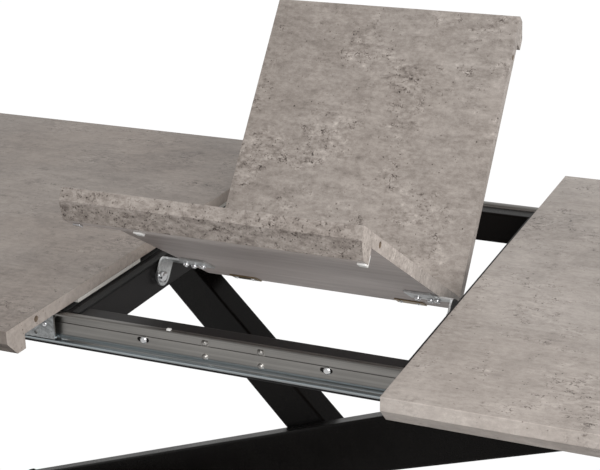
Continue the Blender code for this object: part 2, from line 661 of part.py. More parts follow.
def build_pivot_bolt(name, side, outer, steel):
    """Domed bolt through the tab, and the bush that keeps the tab off the cross beam."""
    inner_face = TAB_X - GAP
    head = PIVOT_HEAD_RADIUS
    bolt = [(inner_face - PIVOT_HEAD_HEIGHT, 0.6 * head), (inner_face - 0.8 * PIVOT_HEAD_HEIGHT, 0.94 * head),
            (inner_face, head), (inner_face, PIVOT_RADIUS), (CROSS_BEAM_X - GAP, PIVOT_RADIUS)]
    bolt = [(side * x, radius) for x, radius in bolt]
    add_object(f"pivot_bolt_{name}", turned_x("bolt", bolt, (PIVOT_Y, PIVOT_Z), 18), steel)
    bush = [[(side * x, y, z) for y, z in circle((PIVOT_Y, PIVOT_Z), radius, 18)]
            for radius in (BUSH_RADIUS, PIVOT_RADIUS + BORE_GAP) for x in (outer + GAP, CROSS_BEAM_X - GAP)]
    mesh = hollow_loft("bush", bush[:2], bush[2:], math.radians(35))
    add_object(f"pivot_bush_{name}", mesh, steel)


def build_leaf(laminate, zinc, brass, steel):
    """Both panels on their swing and fold axes, with the hinges between them."""
    swing = add_empty("leaf_swing", (0.0, PIVOT_Y, PIVOT_Z), LEAF_SWING_REST)
    fold = add_empty("leaf_fold", (0.0, FOLD_Y, FOLD_Z), LEAF_FOLD_REST, swing)
    build_panel("front", -1, (FOLD_Y, FOLD_Z), laminate, swing)
    build_panel("back", 1, (0.0, 0.0), laminate, fold)

    half = HINGE_LENGTH / 2
    third = HINGE_LENGTH / 6
    clear = GAP / 2
    outer_knuckles = [(-half, -third - clear), (third + clear, half)]
    middle_knuckle = [(-third + clear, third - clear)]
    for name, side in (("left", -1), ("right", 1)):
        build_hinge_leaf(f"fold_hinge_{name}_front", -1, outer_knuckles, (FOLD_Y, FOLD_Z), brass, swing)
        build_hinge_leaf(f"fold_hinge_{name}_back", 1, middle_knuckle, (0.0, 0.0), brass, fold)
        span = (side * HINGE_X - half, side * HINGE_X + half)
        pin = loft("pin", along_x(circle((FOLD_Y, FOLD_Z), HINGE_PIN_RADIUS, 10), *span), math.radians(35))
        add_object(f"fold_hinge_{name}_pin", pin, steel, swing)
        build_pivot_bracket(name, side, zinc, steel, swing)


# --- whole table --------------------------------------------------------------------------
def build_table():
    """Clear the scene and make every piece."""
    for old in list(bpy.data.objects):
        bpy.data.objects.remove(old, do_unlink=True)

    black = material("black_powder_coat", (0.018, 0.018, 0.019), 0.55)
    zinc = material("galvanised_steel", (0.45, 0.45, 0.44), 0.35, 1.0)
    bright = material("bright_zinc", (0.75, 0.75, 0.74), 0.25, 1.0)
    brass = material("bronzed_brass", (0.30, 0.22, 0.12), 0.35, 1.0)
    laminate = material("concrete_laminate", (0.33, 0.30, 0.28), 0.55)
    pale = material("pale_strip", (0.62, 0.61, 0.58), 0.50)
    rubber = material("dark_glide", (0.03, 0.03, 0.03), 0.75)

    build_rails(black)
    for name, side in (("left", -1), ("right", 1)):
        build_beam(f"cross_beam_{name}", side * (CROSS_BEAM_X + RAIL_WIDTH / 2), RAIL_WIDTH, black)
        reach = (RAIL_BOTTOM - MOUNT_PLATE - LEG_CROSS_Z) / LEG_SLOPE
        build_beam(f"end_beam_{name}", side * reach * math.cos(LEG_ANGLE), END_BEAM_WIDTH, black)
    build_leg_bar("leg_bar_front", 1, LEG_OUT, black)
    build_leg_bar("leg_bar_back", -1, -LEG_OUT, black)
    build_leg_ends(black, bright, rubber)

    slides = {name: add_empty(f"{name}_slide", (side * OPEN_HALF_GAP, 0.0, TABLE_HEIGHT))
              for name, side in (("left", -1), ("right", 1))}
    build_channel("slide_channel_front", -1, zinc, bright)
    build_channel("slide_channel_back", 1, zinc, bright)
    for name, side in (("left", -1), ("right", 1)):
        for label, facing in (("front", -1), ("back", 1)):
            build_runner(f"{name}_{label}", side, facing, zinc, slides[name])
            shift = add_empty(f"{name}_{label}_cage_slide", (side * CAGE_INNER_X, 0.0, CHANNEL_Z))
            build_cage(f"{name}_{label}", side, facing, bright, shift)
    build_tops(laminate, pale, slides)
    build_leaf(laminate, zinc, brass, bright)


build_table()
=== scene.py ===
"""Looks of the extendable dining table: materials, small fittings, light and camera.

Metres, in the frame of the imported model.  Leaf fittings are placed in each panel's own axes: x along
the table, s outward from the fold line and n down from the top surface.
"""
import json
import math

import bmesh
import bpy
from mathutils import Euler, Matrix, Vector


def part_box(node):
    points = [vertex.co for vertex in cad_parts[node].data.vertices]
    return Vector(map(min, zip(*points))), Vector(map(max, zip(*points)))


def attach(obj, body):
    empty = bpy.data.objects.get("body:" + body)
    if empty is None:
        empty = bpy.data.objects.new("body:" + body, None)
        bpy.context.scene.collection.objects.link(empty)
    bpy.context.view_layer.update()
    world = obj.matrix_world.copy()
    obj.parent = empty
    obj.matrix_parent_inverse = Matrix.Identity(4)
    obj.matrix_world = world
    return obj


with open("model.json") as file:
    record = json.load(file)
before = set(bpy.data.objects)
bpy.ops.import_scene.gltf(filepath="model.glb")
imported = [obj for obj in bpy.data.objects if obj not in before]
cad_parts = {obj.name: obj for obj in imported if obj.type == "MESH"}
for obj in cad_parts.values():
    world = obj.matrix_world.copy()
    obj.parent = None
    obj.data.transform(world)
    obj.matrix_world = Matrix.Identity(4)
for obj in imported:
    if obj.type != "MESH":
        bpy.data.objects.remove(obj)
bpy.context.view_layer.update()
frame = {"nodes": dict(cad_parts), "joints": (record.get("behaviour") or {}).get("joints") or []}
joints = {joint["name"]: joint for joint in frame["joints"]}


# --- places taken from the frame ------------------------------------------------------------
FOLD = Vector(joints["leaf_fold"]["pos_m"])
SWING = -math.radians(joints["leaf_swing"]["range_deg"][1])
UNFOLD = SWING - math.radians(joints["leaf_fold"]["range_deg"][0])
TOP_Z = 0.760
BOARD = 0.018
PANEL_LENGTH = 0.450
THICK_EDGE = 0.038            # width of the thickened edge of tops and leaf panels
SOCKET_Y = 0.385              # dowel sockets in the mating edges
SOCKET_DROP = 0.008
SOCKET_HALF_WIDTH = 0.0055
SHEET_GAP = 0.0003            # between a board and the steel sheet under it
PIVOT_SHEET = 0.0030
HINGE_SHEET = 0.0013
RUNNER_SHEET = 0.0018
EPS = 0.0002                  # stand-off that keeps touching meshes apart


def panel_axes(panel):
    """Matrix from a leaf panel's (x, s, n) to the frame."""
    if panel == "front":
        turn = Matrix.Rotation(SWING, 4, "X")
        flip = Matrix(((1, 0, 0, 0), (0, -1, 0, 0), (0, 0, -1, 0), (0, 0, 0, 1)))
    else:
        turn = Matrix.Rotation(UNFOLD, 4, "X")
        flip = Matrix(((1, 0, 0, 0), (0, 1, 0, 0), (0, 0, -1, 0), (0, 0, 0, 1)))
    return Matrix.Translation(FOLD) @ turn @ flip


# --- node building --------------------------------------------------------------------------
class Surface:
    """One material under construction, with short calls for the nodes it needs."""

    def __init__(self, name, roughness=0.5, metallic=0.0, specular=0.5):
        self.material = bpy.data.materials.new(name)
        self.material.use_nodes = True
        self.tree = self.material.node_tree
        self.shader = self.tree.nodes["Principled BSDF"]
        self.shader.inputs["Roughness"].default_value = roughness
        self.shader.inputs["Metallic"].default_value = metallic
        self.shader.inputs["Specular IOR Level"].default_value = specular

    def feed(self, socket, value):
        if isinstance(value, bpy.types.NodeSocket):
            self.tree.links.new(value, socket)
        else:
            socket.default_value = value

    def set(self, socket_name, value):
        self.feed(self.shader.inputs[socket_name], value)

    def math(self, operation, first, second=0.0, third=0.0, clamp=False):
        node = self.tree.nodes.new("ShaderNodeMath")
        node.operation = operation
        node.use_clamp = clamp
        for socket, value in zip(node.inputs, (first, second, third)):
            self.feed(socket, value)
        return node.outputs[0]

    def total(self, base, *terms):
        """base plus weight times (value - middle) for each (value, weight, middle)."""
        result = base
        for value, weight, middle in terms:
            shifted = self.math("SUBTRACT", value, middle)
            result = self.math("MULTIPLY_ADD", shifted, weight, result)
        return result

    def step(self, value, low, high):
        """Smooth step from 0 at low to 1 at high; high may be the smaller."""
        node = self.tree.nodes.new("ShaderNodeMapRange")
        node.interpolation_type = "SMOOTHSTEP"
        self.feed(node.inputs["Value"], value)
        flipped = high < low
        node.inputs["From Min"].default_value = min(low, high)
        node.inputs["From Max"].default_value = max(low, high)
        node.inputs["To Min"].default_value = 1.0 if flipped else 0.0
        node.inputs["To Max"].default_value = 0.0 if flipped else 1.0
        return node.outputs["Result"]

    def place(self, scale=(1, 1, 1), turn_x=0.0, shift=(0, 0, 0)):
        """The piece's own coordinates, turned into its panel's plane and stretched."""
        coords = self.tree.nodes.new("ShaderNodeTexCoord").outputs["Object"]
        if turn_x:
            turn = self.tree.nodes.new("ShaderNodeMapping")
            turn.vector_type = "TEXTURE"
            turn.inputs["Rotation"].default_value = (turn_x, 0, 0)
            self.feed(turn.inputs["Vector"], coords)
            coords = turn.outputs["Vector"]
        node = self.tree.nodes.new("ShaderNodeMapping")
        node.inputs["Location"].default_value = shift
        node.inputs["Scale"].default_value = scale
        self.feed(node.inputs["Vector"], coords)
        return node.outputs["Vector"]

    def split(self, vector):
        node = self.tree.nodes.new("ShaderNodeSeparateXYZ")
        self.feed(node.inputs[0], vector)
        return node.outputs

    def facing(self, turn_x=0.0):
        """The surface normal in the piece's own axes, turned into its panel's plane."""
        normal = self.tree.nodes.new("ShaderNodeTexCoord").outputs["Normal"]
        turn = self.tree.nodes.new("ShaderNodeMapping")
        turn.vector_type = "TEXTURE"
        turn.inputs["Rotation"].default_value = (turn_x, 0, 0)
        self.feed(turn.inputs["Vector"], normal)
        return self.split(turn.outputs["Vector"])

    def near(self, value, middle, half_width):
        """1 where value is within half_width of middle."""
        gap = self.math("ABSOLUTE", self.math("SUBTRACT", value, middle))
        return self.math("LESS_THAN", gap, half_width)

    def both(self, *masks):
        result = masks[0]
        for mask in masks[1:]:
            result = self.math("MULTIPLY", result, mask)
        return result

    def warp(self, vector, scale, amount):
        """Pushes a coordinate about by a soft noise."""
        node = self.noise_node(vector, scale, 2.0, 0.5)
        centre = self.tree.nodes.new("ShaderNodeVectorMath")
        centre.operation = "SUBTRACT"
        self.feed(centre.inputs[0], node.outputs["Color"])
        centre.inputs[1].default_value = (0.5, 0.5, 0.5)
        push = self.tree.nodes.new("ShaderNodeVectorMath")
        push.operation = "MULTIPLY_ADD"
        self.feed(push.inputs[0], centre.outputs[0])
        push.inputs[1].default_value = (amount, amount, amount)
        self.feed(push.inputs[2], vector)
        return push.outputs[0]

    def noise_node(self, vector, scale, detail, roughness):
        node = self.tree.nodes.new("ShaderNodeTexNoise")
        self.feed(node.inputs["Vector"], vector)
        node.inputs["Scale"].default_value = scale
        node.inputs["Detail"].default_value = detail
        node.inputs["Roughness"].default_value = roughness
        return node

    def noise(self, vector, scale, detail=2.0, roughness=0.5):
        return self.noise_node(vector, scale, detail, roughness).outputs["Fac"]

    def cells(self, vector, scale, feature="F1"):
        """Voronoi distance, and a random number for each cell."""
        node = self.tree.nodes.new("ShaderNodeTexVoronoi")
        node.feature = feature
        self.feed(node.inputs["Vector"], vector)
        node.inputs["Scale"].default_value = scale
        chance = None
        if feature == "F1":
            split = self.tree.nodes.new("ShaderNodeSeparateColor")
            self.feed(split.inputs[0], node.outputs["Color"])
            chance = split.outputs[0]
        return node.outputs["Distance"], chance

    def ramp(self, value, stops):
        node = self.tree.nodes.new("ShaderNodeValToRGB")
        elements = node.color_ramp.elements
        while len(elements) < len(stops):
            elements.new(0.5)
        for element, (position, colour) in zip(elements, stops):
            element.position = position
            element.color = (*linear(colour), 1.0)
        self.feed(node.inputs["Fac"], value)
        return node.outputs["Color"]

    def mix(self, factor, first, second, blend="MIX"):
        node = self.tree.nodes.new("ShaderNodeMix")
        node.data_type = "RGBA"
        node.blend_type = blend
        self.feed(node.inputs["Factor"], factor)
        for name, value in (("A", first), ("B", second)):
            socket = [s for s in node.inputs if s.name == name and s.type == "RGBA"][0]
            self.feed(socket, value if isinstance(value, bpy.types.NodeSocket) else (*linear(value), 1.0))
        return [s for s in node.outputs if s.type == "RGBA"][0]

    def relief(self, height, depth, strength=1.0, arris=0.0):
        """Bump of the given depth in metres, on edges softened by arris metres."""
        node = self.tree.nodes.new("ShaderNodeBump")
        node.inputs["Strength"].default_value = strength
        node.inputs["Distance"].default_value = depth
        self.feed(node.inputs["Height"], height)
        if arris:
            bevel = self.tree.nodes.new("ShaderNodeBevel")
            bevel.samples = 4
            bevel.inputs["Radius"].default_value = arris
            self.feed(node.inputs["Normal"], bevel.outputs["Normal"])
        self.set("Normal", node.outputs["Normal"])


def linear(colour):
    """sRGB bytes to linear light."""
    return tuple((c / 255 / 12.92) if c <= 10 else ((c / 255 + 0.055) / 1.055) ** 2.4 for c in colour)


# --- materials ------------------------------------------------------------------------------
CONCRETE = ((0.00, (52, 45, 41)), (0.18, (96, 87, 82)), (0.40, (140, 132, 126)),
            (0.60, (165, 157, 151)), (0.80, (186, 178, 172)), (1.00, (212, 205, 198)))
BACKING = ((0.2, (166, 156, 152)), (0.5, (187, 177, 173)), (0.8, (207, 198, 194)))
RAW_BOARD = (136, 120, 104)
WARM_FILTER = (255, 244, 235)
# painted highlight colour for the slide channels' lower raceway
RACEWAY_HIGHLIGHT = (198, 208, 213)
# places of the slide channels' painted shade and painted highlights
CHANNEL_MIDDLE = 0.716        # height of the slide channels' middle
CHANNEL_UPPER = (0.712, 0.722)
STOP_X, STOP_RISE, STOP_HALF_WIDTH = 0.0395, 0.0100, 0.0052
RACEWAY_TOP = 0.7035


def concrete(name, board, turn_x=0.0, shift=(0, 0, 0), pitted_edge=None, tone=0.56, painted_edge_light=0.0,
             wear=1.0, warm=0.2, depth=1.0, fine=1.0):
    """Printed concrete foil on a board, with its backing foil below and raw board in the sockets.

    board gives the top surface's height, and the middle and half spacing of the sockets, in the turned
    axes; pitted_edge is where the pattern starts to fill with pits and where it is full of them; the
    argument after tone paints light on the faces of the long edges; wear, warm, depth and fine say how
    marked, how brown, how strong and how fine the pattern is. The cut ends get painted light, and faces
    slanted downwards get painted shade.
    """
    top, sockets = board
    s = Surface(name, 0.44, specular=0.36)
    own = s.split(s.place((1, 1, 1), turn_x))
    normal = s.facing(turn_x)
    flat = s.place((1, 1, 1), turn_x, shift)
    drawn_out = s.place((0.20, 1, 1), turn_x, shift)
    loose = s.warp(flat, 5.0, 0.05)
    ragged = s.warp(s.warp(flat, 45.0, 0.010), 160.0, 0.0035)
    # Painted light: faces along X, the cut ends, are lifted to a lighter tone below.
    cut_face_painted_light = s.math("GREATER_THAN", s.math("ABSOLUTE", normal["X"]), 0.9)

    clouds = s.noise(loose, 3.2, 4.0, 0.55)
    patches = s.noise(loose, 21.0, 9.0, 0.76)
    streaks = s.noise(drawn_out, 60.0, 6.0, 0.66)
    mottle = s.noise(s.place((0.6, 1, 1), turn_x, shift), 150.0, 5.0, 0.70)
    grain = s.noise(flat, 620.0, 3.0, 0.6)

    worn = s.math("MULTIPLY", s.step(s.noise(loose, 7.5, 6.0, 0.66), 0.50, 0.60), wear)
    edge_pits = 0.0
    if pitted_edge is not None:
        edge_pits = s.step(own["Y"], *pitted_edge)
        worn = s.math("MAXIMUM", worn, s.math("MULTIPLY", edge_pits, 0.50))
    contour = s.math("ABSOLUTE", s.math("SUBTRACT", s.noise(ragged, 95.0, 2.5, 0.55), 0.5))
    squiggle = s.both(s.step(contour, 0.040, 0.010),
                      s.step(s.noise(flat, 60.0, 4.0, 0.6), 0.53, 0.60), worn)
    crumbs = s.both(s.step(s.noise(ragged, 260.0, 3.0, 0.6), 0.53, 0.64),
                    s.step(s.noise(loose, 40.0, 4.0, 0.65), 0.50, 0.62), worn)
    edge, _ = s.cells(ragged, 85.0, "DISTANCE_TO_EDGE")
    broken = s.step(s.noise(flat, 60.0, 3.0, 0.6), 0.57, 0.65)
    crack = s.both(s.step(edge, 0.050, 0.014), broken, worn)
    pale = s.both(s.step(s.noise(ragged, 30.0, 6.0, 0.65), 0.52, 0.63), worn)
    stain_mask = s.step(s.noise(loose, 5.2, 4.0, 0.6), 0.47, 0.60)
    stain = s.both(s.step(s.noise(ragged, 34.0, 8.0, 0.78), 0.52, 0.66), stain_mask)
    hole, chance = s.cells(ragged, 290.0)
    often = s.math("SUBTRACT", 0.965, s.math("MULTIPLY", worn, 0.15))
    if pitted_edge is not None:
        thick = s.step(s.noise(flat, 14.0, 3.0), 0.36, 0.62)
        often = s.math("SUBTRACT", often, s.both(edge_pits, s.math("MULTIPLY_ADD", thick, 0.32, 0.06)))
    uneven = s.step(s.noise(flat, 130.0, 3.0), 0.34, 0.60)
    pit = s.both(s.step(hole, 0.44, 0.14), s.math("GREATER_THAN", chance, often), uneven)
    rough_mottle = s.both(s.math("SUBTRACT", mottle, 0.5), s.math("MULTIPLY_ADD", worn, 0.75, 0.60))
    long_edge = s.math("GREATER_THAN", s.math("ABSOLUTE", normal["Y"]), 0.6)
    # Painted shade: slanted faces turned downwards are darkened.
    bevel = s.both(s.math("LESS_THAN", normal["Z"], -0.3), s.math("GREATER_THAN", normal["Z"], -0.9))

    pattern = s.total(0.0, (clouds, 0.34 + 0.5 * (1 - fine), 0.5), (patches, 0.56, 0.5),
                      (streaks, 0.46 * fine, 0.5), (rough_mottle, 1.15 * fine, 0.0),
                      (grain, 0.30 * fine, 0.5), (pale, 0.15, 0.0), (stain, -0.15, 0.0),
                      (pit, -0.46, 0.0), (squiggle, -0.46, 0.0), (crack, -0.34, 0.0),
                      (crumbs, -0.20, 0.0))
    # Painted light on the cut ends and on the long edges, and painted shade on downward slanted faces.
    tone = s.total(tone, (pattern, depth, 0.0), (cut_face_painted_light, 0.70 - tone, 0.0), (long_edge, painted_edge_light, 0.0),
                   (bevel, -0.10, 0.0))
    colour = s.ramp(tone, CONCRETE)
    warmth = s.step(s.noise(loose, 4.5, 3.0), 0.38, 0.66)
    browned = s.math("MULTIPLY_ADD", warmth, 0.5 * warm, 0.5 * warm)
    colour = s.mix(browned, colour, WARM_FILTER, "MULTIPLY")

    drawn = s.noise(s.place((0.10, 1, 1), turn_x), 60.0, 5.0, 0.6)
    haze = s.noise(s.place((0.5, 1, 1), turn_x), 5.0, 3.0)
    backing = s.ramp(s.total(0.5, (drawn, 0.9, 0.5), (haze, 0.8, 0.5)), BACKING)
    colour = s.mix(s.math("LESS_THAN", normal["Z"], -0.9), colour, backing)
    from_middle = s.math("ABSOLUTE", s.math("SUBTRACT", own["Y"], sockets[0]))
    in_socket = s.near(from_middle, sockets[1], SOCKET_HALF_WIDTH)
    below = s.near(own["Z"], top - SOCKET_DROP - 0.001, 0.006)
    wall = s.math("LESS_THAN", s.math("ABSOLUTE", normal["X"]), 0.7)
    s.set("Base Color", s.mix(s.both(in_socket, below, wall), colour, RAW_BOARD))
    s.set("Roughness", s.total(0.44, (patches, 0.25, 0.5), (crack, 0.25, 0.0)))
    height = s.total(0.5, (grain, 0.25, 0.5), (mottle, 0.3, 0.5), (pit, -0.8, 0.0),
                     (squiggle, -0.8, 0.0), (crack, -0.8, 0.0))
    s.relief(height, 0.00030, 0.5, 0.0007)
    return s.material


def turned_fold(turn_x):
    """The fold line's place in axes turned into a panel's plane."""
    return Matrix.Rotation(-turn_x, 3, "X") @ FOLD


def panel_concrete(name, turn_x, direction, shift, pits, tone, wear):
    """Concrete for a leaf panel; direction is -1 where it runs towards -Y from the fold."""
    fold = turned_fold(turn_x)
    far_edge = fold.y + direction * PANEL_LENGTH
    pitted = (far_edge - direction * 0.052, far_edge - direction * 0.030) if pits else None
    return concrete(name, (fold.z, (fold.y, SOCKET_Y)), turn_x, shift, pitted, tone, wear=wear)


def powder_coat(name, dark, light, roughness, specular):
    """Fine black powder coat with a slight orange peel."""
    s = Surface(name, roughness, specular=specular)
    peel = s.noise(s.place(), 900.0, 3.0, 0.55)
    haze = s.noise(s.place(), 9.0, 3.0)
    tone = s.total(0.5, (peel, 0.5, 0.5), (haze, 0.8, 0.5))
    s.set("Base Color", s.ramp(tone, ((0.2, dark), (0.8, light))))
    s.set("Roughness", s.total(roughness, (haze, 0.16, 0.5), (peel, 0.1, 0.5)))
    s.relief(peel, 0.00008, 0.25, 0.0012)
    return s.material


def sheet_steel(name, dark, light, roughness, lines=(1.5, 420, 420), spangle=0.0, painted_top_shade=0.0):
    """Zinc-coated steel with drawn lines along X, or with a spangle.

    The last argument is for the slide channels: it paints shade on the upward faces of their upper
    half, and paints highlights on their pressed stops and in bright, cold lines along their lower raceway.
    """
    s = Surface(name, roughness, 1.0)
    drawn = s.noise(s.place(lines), 1.0, 4.0, 0.6)
    smear = s.noise(s.place((6, 30, 30)), 1.0, 3.0)
    tone = s.total(0.5, (drawn, 0.9, 0.5), (smear, 0.9, 0.5))
    if spangle:
        _, chance = s.cells(s.warp(s.place(), 200.0, 0.004), 320.0)
        tone = s.total(tone, (chance, spangle, 0.5))
    if painted_top_shade:
        own = s.split(s.place())
        # Painted shade: the upward faces of the channel's upper half are darkened.
        upper = s.both(s.step(s.facing()["Z"], 0.25, 0.75), s.step(own["Z"], *CHANNEL_UPPER))
        rise = s.math("ABSOLUTE", s.math("SUBTRACT", own["Z"], CHANNEL_MIDDLE))
        # Painted highlight: the pressed stops are lightened.
        stop_highlight = s.both(s.near(s.math("ABSOLUTE", own["X"]), STOP_X, STOP_HALF_WIDTH),
                         s.near(rise, STOP_RISE, STOP_HALF_WIDTH))
        tone = s.total(tone, (upper, -painted_top_shade, 0.0), (stop_highlight, 0.55, 0.0))
    colour = s.ramp(tone, ((0.15, dark), (0.85, light)))
    if painted_top_shade:
        # Painted highlight: bright, cold lines along the lower raceway, where the drawn lines run high.
        low = s.step(own["Z"], RACEWAY_TOP + 0.001, RACEWAY_TOP)
        colour = s.mix(s.both(low, s.step(drawn, 0.30, 0.62)), colour, RACEWAY_HIGHLIGHT)
    s.set("Base Color", colour)
    s.set("Roughness", s.total(roughness, (drawn, 0.22, 0.5), (smear, 0.15, 0.5)))
    s.relief(drawn, 0.00006, 0.4, 0.0004)
    return s.material


def moulded(name, dark, light, roughness, scale=300.0):
    """Plain plastic or melamine with a fine mottle."""
    s = Surface(name, roughness)
    mottle = s.noise(s.place(), scale, 4.0, 0.6)
    s.set("Base Color", s.ramp(mottle, ((0.3, dark), (0.7, light))))
    s.relief(mottle, 0.0001, 0.3, 0.0004)
    return s.material


def make_materials():
    flat_board = (TOP_Z, (0.0, SOCKET_Y))
    return {
        # The left top's lower tone is painted shade: it is made darker than the right top, as if it got
        # less light.
        "top_left": concrete("concrete_top_left", flat_board, tone=0.40, wear=0.62, warm=0.45,
                             depth=0.80, fine=0.65),
        "top_right": concrete("concrete_top_right", flat_board, shift=(0.37, 0.81, 0.0), painted_edge_light=0.19,
                              wear=0.72, depth=1.0, fine=0.65),
        "leaf_front": panel_concrete("concrete_leaf_front", SWING, -1, (1.3, 0.2, 0.4), True, 0.57, 0.75),
        "leaf_back": panel_concrete("concrete_leaf_back", UNFOLD, 1, (2.1, 0.9, 0.1), False, 0.60, 0.92),
        "black": powder_coat("black_powder", (9, 7, 6), (18, 15, 13), 0.27, 0.09),
        # A lighter, rougher copy of the black powder coat: its lightness is painted light on the front rail
        # and cross beams.
        "lit_matt_black": powder_coat("black_powder_matt_lit", (32, 31, 31), (48, 46, 46), 0.42, 0.12),
        "channel": sheet_steel("rolled_zinc", (128, 126, 123), (182, 179, 175), 0.34, painted_top_shade=0.55),
        "bracket": sheet_steel("spangled_zinc", (150, 152, 153), (200, 203, 204), 0.36, (40, 90, 90), 0.5),
        "pivot": sheet_steel("pressed_zinc", (196, 198, 198), (232, 234, 235), 0.34, (40, 90, 90), 0.4),
        "bright": sheet_steel("bright_zinc", (222, 223, 225), (250, 250, 251), 0.18, (60, 60, 60)),
        "bronze": sheet_steel("bronzed_hinge", (128, 108, 80), (186, 162, 126), 0.32, (40, 120, 120)),
        "strip": moulded("pale_melamine", (214, 211, 204), (232, 229, 223), 0.45),
        "white": moulded("white_nylon", (232, 231, 228), (246, 245, 243), 0.38),
        "rubber": moulded("dark_rubber", (22, 22, 22), (34, 34, 34), 0.75),
    }


def dress_cad_nodes(look):
    """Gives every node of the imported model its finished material."""
    for name, node in frame["nodes"].items():
        if name in ("top_left", "top_right", "leaf_front", "leaf_back"):
            finish = look[name]
        elif name.startswith(("rail_front", "cross_beam")):
            finish = look["lit_matt_black"]
        elif name.startswith(("rail_back", "end_beam", "leg_bar", "leg_mount", "foot_plate")):
            finish = look["black"]
        elif name.startswith(("slide_channel", "slide_runner")):
            finish = look["channel"]
        elif name.startswith("runner_bracket"):
            finish = look["bracket"]
        elif name.startswith("pivot_bracket"):
            finish = look["pivot"]
        elif name.startswith("fold_hinge") and not name.endswith("pin"):
            finish = look["bronze"]
        elif name.startswith("edge_strip"):
            finish = look["strip"]
        elif name.startswith("glide"):
            finish = look["rubber"]
        else:
            finish = look["bright"]
        for index in range(len(node.data.materials)):
            node.data.materials[index] = finish


# --- small fittings -------------------------------------------------------------------------
SIDES = (("left", -1), ("right", 1))
ENDS = (("front", -1), ("back", 1))
PIVOT_SCREW_SPOTS = ((0.1945, 0.0900, 0.3), (0.1835, 0.0850, 1.1), (0.1662, 0.0915, 0.7))  # x, s, spin
HINGE_SCREW_SPOTS = (-0.0135, 0.0135)          # along X from each hinge's middle
WALL_SCREW_SPOTS = (0.0137, 0.2197, 0.4257)    # along X from each runner bracket's inner end
SHELF_SCREW_SPOTS = (0.045, 0.250, 0.425)
STOP_X_PLACE = -0.086                          # stop on each channel's upper lip
PAD_SPOTS = (0.1944, -0.1000)
CLIP_SPOT = -0.1860
FELT_LENGTH, FELT_WIDTH, FELT_THICKNESS = 0.6300, 0.0110, 0.0022
WELD_STEP, WELD_RADIUS = 0.0025, 0.0022


def lathe(profile, count=20):
    """Closed solid turned about Z from (radius, z) points, from the bottom's middle to the top's."""
    solid = bmesh.new()
    rings = []
    for radius, z in profile:
        turns = [math.tau * step / count for step in range(count)]
        rings.append([solid.verts.new((radius * math.cos(a), radius * math.sin(a), z)) for a in turns])
    for low, high in zip(rings, rings[1:]):
        for step in range(count):
            after = (step + 1) % count
            solid.faces.new((low[step], low[after], high[after], high[step]))
    solid.faces.new(list(reversed(rings[0])))
    solid.faces.new(rings[-1])
    return solid


def to_mesh(name, solid, smooth_angle=35.0):
    mesh = bpy.data.meshes.new(name)
    bmesh.ops.recalc_face_normals(solid, faces=solid.faces)
    solid.to_mesh(mesh)
    solid.free()
    mesh.polygons.foreach_set("use_smooth", [True] * len(mesh.polygons))
    mesh.set_sharp_from_angle(angle=math.radians(smooth_angle))
    return mesh


def soft_box(size, bevel, centre=(0, 0, 0)):
    """Box with rounded edges, as a bmesh."""
    solid = bmesh.new()
    bmesh.ops.create_cube(solid, size=1.0)
    bmesh.ops.scale(solid, vec=size, verts=solid.verts)
    bmesh.ops.translate(solid, vec=centre, verts=solid.verts)
    bmesh.ops.bevel(solid, geom=solid.edges, offset=bevel, segments=2, affect="EDGES", profile=0.6)
    return solid


def crossed(mesh, depth_low, depth_high, span, width):
    """Cuts a cross recess into a mesh from depth_low up to depth_high."""
    body = bpy.data.objects.new("recess_body", mesh)
    bpy.context.scene.collection.objects.link(body)
    cutters = []
    for size in ((span, width), (width, span)):
        low, high = [], []
        solid = bmesh.new()
        for ring, z, scale in ((low, depth_low, 0.55), (high, depth_high, 1.0)):
            for sx, sy in ((-1, -1), (1, -1), (1, 1), (-1, 1)):
                ring.append(solid.verts.new((sx * size[0] / 2 * scale, sy * size[1] / 2 * scale, z)))
        solid.faces.new(list(reversed(low)))
        solid.faces.new(high)
        for step in range(4):
            after = (step + 1) % 4
            solid.faces.new((low[step], low[after], high[after], high[step]))
        cutter = bpy.data.objects.new("recess_cutter", to_mesh("recess_cutter", solid))
        bpy.context.scene.collection.objects.link(cutter)
        cutters.append(cutter)
        modifier = body.modifiers.new("recess", "BOOLEAN")
        modifier.operation = "DIFFERENCE"
        modifier.solver = "EXACT"
        modifier.object = cutter
    bpy.context.view_layer.update()
    graph = bpy.context.evaluated_depsgraph_get()
    result = bpy.data.meshes.new_from_object(body.evaluated_get(graph))
    for thing in (body, *cutters):
        bpy.data.objects.remove(thing, do_unlink=True)
    result.set_sharp_from_angle(angle=math.radians(35.0))
    return result


def pan_screw(head_radius, head_height, washer_radius=0.0):
    """Cross-recess pan screw standing on z = 0, with a washer where washer_radius is given."""
    base = 0.0
    profile = []
    if washer_radius:
        base = 0.0011
        profile = [(washer_radius, 0.0), (washer_radius, base - 0.0002), (washer_radius - 0.0004, base)]
    r, h = head_radius, head_height
    profile += [(r, base + 0.0001), (r, base + 0.25 * h), (0.93 * r, base + 0.55 * h),
                (0.74 * r, base + 0.84 * h), (0.45 * r, base + 0.98 * h), (0.10 * r, base + h)]
    mesh = to_mesh("pan_screw", lathe(profile))
    return crossed(mesh, base + 0.30 * h, base + 1.3 * h, 1.15 * r, 0.30 * r)


def place_group(name, mesh, matrices, body, finish):
    """One piece made of copies of a mesh."""
    group = bmesh.new()
    for matrix in matrices:
        copy = mesh.copy()
        copy.transform(matrix)
        group.from_mesh(copy)
        bpy.data.meshes.remove(copy)
    piece = bpy.data.objects.new(name, bpy.data.meshes.new(name))
    group.to_mesh(piece.data)
    group.free()
    piece.data.materials.append(finish)
    bpy.context.scene.collection.objects.link(piece)
    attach(piece, body)
    return piece


def standing(x, y, z, facing, spin=0.0):
    """Matrix that stands a fitting's Z axis along facing, turned about it by spin."""
    turn = Vector(facing).to_track_quat("Z", "X").to_matrix().to_4x4()
    return Matrix.Translation((x, y, z)) @ turn @ Matrix.Rotation(spin, 4, "Z")


